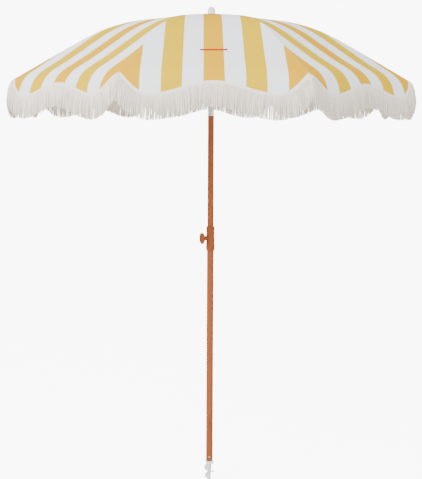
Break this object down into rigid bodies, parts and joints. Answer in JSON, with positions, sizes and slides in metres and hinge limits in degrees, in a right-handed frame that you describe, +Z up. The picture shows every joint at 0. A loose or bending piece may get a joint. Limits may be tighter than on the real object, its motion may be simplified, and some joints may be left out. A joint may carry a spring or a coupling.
{
  "type": "beach umbrella",
  "caption": "Fringed beach umbrella with a striped ribbed canopy that folds, a tilting knuckle, a clamped sliding pole and a sand auger.",
  "frame": {"origin": "tip of the sand auger, on the pole's axis", "axes": "+Z up the pole, -Y towards the front panel, +X to the right seen from the front"},
  "size_m": [1.7458, 1.7458, 2.2628],
  "materials": {
    "painted_wood_look": "satin wood-look coating",
    "terracotta_plastic": "fine moulded texture",
    "white_plastic": "semi-gloss moulded",
    "dark_plastic": "satin",
    "chrome_plate": "polished",
    "zinc_steel": "zinc plated",
    "white_steel": "gloss powder coat",
    "striped_cloth": "woven, yellow and white stripes",
    "fringe_yarn": "cotton yarn",
    "red_webbing": "woven tape"
  },
  "bodies": {
    "lower_pole": {"lower_pole": "painted_wood_look", "sand_auger": "white_plastic", "auger_screw": "zinc_steel", "pole_collar": "terracotta_plastic", "clamp_nut": "zinc_steel"},
    "clamp_knob": {"clamp_knob": "terracotta_plastic", "clamp_screw": "zinc_steel"},
    "guide_ring": {"guide_ring": "white_plastic"},
    "mid_pole": {"mid_pole": "painted_wood_look", "trim_ring": "dark_plastic", "tilt_socket": "chrome_plate", "tilt_pin": "chrome_plate", "button_spring": "zinc_steel"},
    "tilt_button": {"tilt_button": "chrome_plate"},
    "upper_pole": {"upper_pole": "chrome_plate", "crown_hub": "white_plastic", "crown_wire": "zinc_steel", "finial_cap": "white_plastic", "finial_screw": "zinc_steel", "top_patch": "striped_cloth"},
    "runner": {"runner": "white_plastic", "runner_wire": "zinc_steel"},
    "runner_lock": {"runner_lock": "chrome_plate"},
    "rib_1": {"rib_1": "white_steel"},
    "stretcher_1": {"stretcher_1": "white_steel"},
    "panel_1": {"panel_1": "striped_cloth", "front_tape": "red_webbing"},
    "valance_1": {"valance_1": "fringe_yarn"},
    "rib_2": {"rib_2": "white_steel"},
    "stretcher_2": {"stretcher_2": "white_steel"},
    "panel_2": {"panel_2": "striped_cloth"},
    "valance_2": {"valance_2": "fringe_yarn"},
    "rib_3": {"rib_3": "white_steel"},
    "stretcher_3": {"stretcher_3": "white_steel"},
    "panel_3": {"panel_3": "striped_cloth"},
    "valance_3": {"valance_3": "fringe_yarn"},
    "rib_4": {"rib_4": "white_steel"},
    "stretcher_4": {"stretcher_4": "white_steel"},
    "panel_4": {"panel_4": "striped_cloth"},
    "valance_4": {"valance_4": "fringe_yarn"},
    "rib_5": {"rib_5": "white_steel"},
    "stretcher_5": {"stretcher_5": "white_steel"},
    "panel_5": {"panel_5": "striped_cloth"},
    "valance_5": {"valance_5": "fringe_yarn"},
    "rib_6": {"rib_6": "white_steel"},
    "stretcher_6": {"stretcher_6": "white_steel"},
    "panel_6": {"panel_6": "striped_cloth"},
    "valance_6": {"valance_6": "fringe_yarn"},
    "rib_7": {"rib_7": "white_steel"},
    "stretcher_7": {"stretcher_7": "white_steel"},
    "panel_7": {"panel_7": "striped_cloth"},
    "valance_7": {"valance_7": "fringe_yarn"},
    "rib_8": {"rib_8": "white_steel"},
    "stretcher_8": {"stretcher_8": "white_steel"},
    "panel_8": {"panel_8": "striped_cloth"},
    "valance_8": {"valance_8": "fringe_yarn"}
  },
  "joints": [
    {"name": "height_slide", "type": "slide", "parent": "lower_pole", "child": "guide_ring", "axis": [0, 0, 1], "range_m": [-0.4, 0]},
    {"name": "pole_turn", "type": "hinge", "parent": "guide_ring", "child": "mid_pole", "pos_m": [0, 0, 1.02], "axis": [0, 0, 1], "range_deg": [-180, 180]},
    {"name": "clamp_knob_turn", "type": "hinge", "parent": "lower_pole", "child": "clamp_knob", "pos_m": [0, 0, 1.172], "axis": [-0.9397, -0.342, 0], "range_deg": [0, 180]},
    {"name": "canopy_tilt", "type": "hinge", "parent": "mid_pole", "child": "upper_pole", "pos_m": [0, 0, 1.82], "axis": [-1, 0, 0], "range_deg": [-35, 0]},
    {"name": "tilt_button_press", "type": "slide", "parent": "mid_pole", "child": "tilt_button", "axis": [1, 0, 0], "range_m": [0, 0.003], "stiffness_N_per_m": 900, "springref_m": -0.002, "deforming": ["button_spring"]},
    {"name": "canopy_fold", "type": "hinge", "parent": "upper_pole", "child": "rib_1", "pos_m": [0.00765, -0.01848, 2.222], "axis": [0.9239, 0.3827, 0], "range_deg": [0, 67]},
    {"name": "rib_2_hinge", "type": "hinge", "parent": "upper_pole", "child": "rib_2", "pos_m": [0.01848, -0.00765, 2.222], "axis": [0.3827, 0.9239, 0], "range_deg": [0, 67]},
    {"name": "rib_3_hinge", "type": "hinge", "parent": "upper_pole", "child": "rib_3", "pos_m": [0.01848, 0.00765, 2.222], "axis": [-0.3827, 0.9239, 0], "range_deg": [0, 67]},
    {"name": "rib_4_hinge", "type": "hinge", "parent": "upper_pole", "child": "rib_4", "pos_m": [0.00765, 0.01848, 2.222], "axis": [-0.9239, 0.3827, 0], "range_deg": [0, 67]},
    {"name": "rib_5_hinge", "type": "hinge", "parent": "upper_pole", "child": "rib_5", "pos_m": [-0.00765, 0.01848, 2.222], "axis": [-0.9239, -0.3827, 0], "range_deg": [0, 67]},
    {"name": "rib_6_hinge", "type": "hinge", "parent": "upper_pole", "child": "rib_6", "pos_m": [-0.01848, 0.00765, 2.222], "axis": [-0.3827, -0.9239, 0], "range_deg": [0, 67]},
    {"name": "rib_7_hinge", "type": "hinge", "parent": "upper_pole", "child": "rib_7", "pos_m": [-0.01848, -0.00765, 2.222], "axis": [0.3827, -0.9239, 0], "range_deg": [0, 67]},
    {"name": "rib_8_hinge", "type": "hinge", "parent": "upper_pole", "child": "rib_8", "pos_m": [-0.00765, -0.01848, 2.222], "axis": [0.9239, -0.3827, 0], "range_deg": [0, 67]},
    {"name": "stretcher_1_hinge", "type": "hinge", "parent": "rib_1", "child": "stretcher_1", "pos_m": [0.17261, -0.41672, 2.14379], "axis": [0.9239, 0.3827, 0], "range_deg": [-135, 0]},
    {"name": "stretcher_2_hinge", "type": "hinge", "parent": "rib_2", "child": "stretcher_2", "pos_m": [0.41672, -0.17261, 2.14379], "axis": [0.3827, 0.9239, 0], "range_deg": [-135, 0]},
    {"name": "stretcher_3_hinge", "type": "hinge", "parent": "rib_3", "child": "stretcher_3", "pos_m": [0.41672, 0.17261, 2.14379], "axis": [-0.3827, 0.9239, 0], "range_deg": [-135, 0]},
    {"name": "stretcher_4_hinge", "type": "hinge", "parent": "rib_4", "child": "stretcher_4", "pos_m": [0.17261, 0.41672, 2.14379], "axis": [-0.9239, 0.3827, 0], "range_deg": [-135, 0]},
    {"name": "stretcher_5_hinge", "type": "hinge", "parent": "rib_5", "child": "stretcher_5", "pos_m": [-0.17261, 0.41672, 2.14379], "axis": [-0.9239, -0.3827, 0], "range_deg": [-135, 0]},
    {"name": "stretcher_6_hinge", "type": "hinge", "parent": "rib_6", "child": "stretcher_6", "pos_m": [-0.41672, 0.17261, 2.14379], "axis": [-0.3827, -0.9239, 0], "range_deg": [-135, 0]},
    {"name": "stretcher_7_hinge", "type": "hinge", "parent": "rib_7", "child": "stretcher_7", "pos_m": [-0.41672, -0.17261, 2.14379], "axis": [0.3827, -0.9239, 0], "range_deg": [-135, 0]},
    {"name": "stretcher_8_hinge", "type": "hinge", "parent": "rib_8", "child": "stretcher_8", "pos_m": [-0.17261, -0.41672, 2.14379], "axis": [0.9239, -0.3827, 0], "range_deg": [-135, 0]},
    {"name": "runner_hinge", "type": "hinge", "parent": "stretcher_1", "child": "runner", "pos_m": [0.00765, -0.01848, 2.06558], "axis": [0.9239, 0.3827, 0], "range_deg": [0, 67]},
    {"name": "runner_lock_press", "type": "slide", "parent": "runner", "child": "runner_lock", "axis": [1, 0, 0], "range_m": [0, 0.0016], "stiffness_N_per_m": 900, "springref_m": -0.002},
    {"name": "panel_1_fold", "type": "hinge", "parent": "upper_pole", "child": "panel_1", "pos_m": [0, -0.01848, 2.222], "axis": [1, 0, 0], "range_deg": [0, 67], "deforming": ["panel_1"]},
    {"name": "panel_2_fold", "type": "hinge", "parent": "upper_pole", "child": "panel_2", "pos_m": [0.01307, -0.01307, 2.222], "axis": [0.7071, 0.7071, 0], "range_deg": [0, 67], "deforming": ["panel_2"]},
    {"name": "panel_3_fold", "type": "hinge", "parent": "upper_pole", "child": "panel_3", "pos_m": [0.01848, 0, 2.222], "axis": [0, 1, 0], "range_deg": [0, 67], "deforming": ["panel_3"]},
    {"name": "panel_4_fold", "type": "hinge", "parent": "upper_pole", "child": "panel_4", "pos_m": [0.01307, 0.01307, 2.222], "axis": [-0.7071, 0.7071, 0], "range_deg": [0, 67], "deforming": ["panel_4"]},
    {"name": "panel_5_fold", "type": "hinge", "parent": "upper_pole", "child": "panel_5", "pos_m": [0, 0.01848, 2.222], "axis": [-1, 0, 0], "range_deg": [0, 67], "deforming": ["panel_5"]},
    {"name": "panel_6_fold", "type": "hinge", "parent": "upper_pole", "child": "panel_6", "pos_m": [-0.01307, 0.01307, 2.222], "axis": [-0.7071, -0.7071, 0], "range_deg": [0, 67], "deforming": ["panel_6"]},
    {"name": "panel_7_fold", "type": "hinge", "parent": "upper_pole", "child": "panel_7", "pos_m": [-0.01848, 0, 2.222], "axis": [0, -1, 0], "range_deg": [0, 67], "deforming": ["panel_7"]},
    {"name": "panel_8_fold", "type": "hinge", "parent": "upper_pole", "child": "panel_8", "pos_m": [-0.01307, -0.01307, 2.222], "axis": [0.7071, -0.7071, 0], "range_deg": [0, 67], "deforming": ["panel_8"]},
    {"name": "valance_1_fold", "type": "hinge", "parent": "panel_1", "child": "valance_1", "pos_m": [0, -0.83501, 1.9081], "axis": [1, 0, 0], "range_deg": [-68, 0], "deforming": ["valance_1"]},
    {"name": "valance_2_fold", "type": "hinge", "parent": "panel_2", "child": "valance_2", "pos_m": [0.59044, -0.59044, 1.9081], "axis": [0.7071, 0.7071, 0], "range_deg": [-68, 0], "deforming": ["valance_2"]},
    {"name": "valance_3_fold", "type": "hinge", "parent": "panel_3", "child": "valance_3", "pos_m": [0.83501, 0, 1.9081], "axis": [0, 1, 0], "range_deg": [-68, 0], "deforming": ["valance_3"]},
    {"name": "valance_4_fold", "type": "hinge", "parent": "panel_4", "child": "valance_4", "pos_m": [0.59044, 0.59044, 1.9081], "axis": [-0.7071, 0.7071, 0], "range_deg": [-68, 0], "deforming": ["valance_4"]},
    {"name": "valance_5_fold", "type": "hinge", "parent": "panel_5", "child": "valance_5", "pos_m": [0, 0.83501, 1.9081], "axis": [-1, 0, 0], "range_deg": [-68, 0], "deforming": ["valance_5"]},
    {"name": "valance_6_fold", "type": "hinge", "parent": "panel_6", "child": "valance_6", "pos_m": [-0.59044, 0.59044, 1.9081], "axis": [-0.7071, -0.7071, 0], "range_deg": [-68, 0], "deforming": ["valance_6"]},
    {"name": "valance_7_fold", "type": "hinge", "parent": "panel_7", "child": "valance_7", "pos_m": [-0.83501, 0, 1.9081], "axis": [0, -1, 0], "range_deg": [-68, 0], "deforming": ["valance_7"]},
    {"name": "valance_8_fold", "type": "hinge", "parent": "panel_8", "child": "valance_8", "pos_m": [-0.59044, -0.59044, 1.9081], "axis": [0.7071, -0.7071, 0], "range_deg": [-68, 0], "deforming": ["valance_8"]}
  ],
  "couplings": [
    {"joint": "rib_2_hinge", "follows": "canopy_fold", "ratio": 1},
    {"joint": "rib_3_hinge", "follows": "canopy_fold", "ratio": 1},
    {"joint": "rib_4_hinge", "follows": "canopy_fold", "ratio": 1},
    {"joint": "rib_5_hinge", "follows": "canopy_fold", "ratio": 1},
    {"joint": "rib_6_hinge", "follows": "canopy_fold", "ratio": 1},
    {"joint": "rib_7_hinge", "follows": "canopy_fold", "ratio": 1},
    {"joint": "rib_8_hinge", "follows": "canopy_fold", "ratio": 1},
    {"joint": "stretcher_1_hinge", "follows": "canopy_fold", "ratio": -2},
    {"joint": "stretcher_2_hinge", "follows": "canopy_fold", "ratio": -2},
    {"joint": "stretcher_3_hinge", "follows": "canopy_fold", "ratio": -2},
    {"joint": "stretcher_4_hinge", "follows": "canopy_fold", "ratio": -2},
    {"joint": "stretcher_5_hinge", "follows": "canopy_fold", "ratio": -2},
    {"joint": "stretcher_6_hinge", "follows": "canopy_fold", "ratio": -2},
    {"joint": "stretcher_7_hinge", "follows": "canopy_fold", "ratio": -2},
    {"joint": "stretcher_8_hinge", "follows": "canopy_fold", "ratio": -2},
    {"joint": "runner_hinge", "follows": "canopy_fold", "ratio": 1},
    {"joint": "panel_1_fold", "follows": "canopy_fold", "ratio": 0.97},
    {"joint": "panel_2_fold", "follows": "canopy_fold", "ratio": 0.97},
    {"joint": "panel_3_fold", "follows": "canopy_fold", "ratio": 0.97},
    {"joint": "panel_4_fold", "follows": "canopy_fold", "ratio": 0.97},
    {"joint": "panel_5_fold", "follows": "canopy_fold", "ratio": 0.97},
    {"joint": "panel_6_fold", "follows": "canopy_fold", "ratio": 0.97},
    {"joint": "panel_7_fold", "follows": "canopy_fold", "ratio": 0.97},
    {"joint": "panel_8_fold", "follows": "canopy_fold", "ratio": 0.97},
    {"joint": "valance_1_fold", "follows": "canopy_fold", "ratio": -0.97},
    {"joint": "valance_2_fold", "follows": "canopy_fold", "ratio": -0.97},
    {"joint": "valance_3_fold", "follows": "canopy_fold", "ratio": -0.97},
    {"joint": "valance_4_fold", "follows": "canopy_fold", "ratio": -0.97},
    {"joint": "valance_5_fold", "follows": "canopy_fold", "ratio": -0.97},
    {"joint": "valance_6_fold", "follows": "canopy_fold", "ratio": -0.97},
    {"joint": "valance_7_fold", "follows": "canopy_fold", "ratio": -0.97},
    {"joint": "valance_8_fold", "follows": "canopy_fold", "ratio": -0.97}
  ]
}
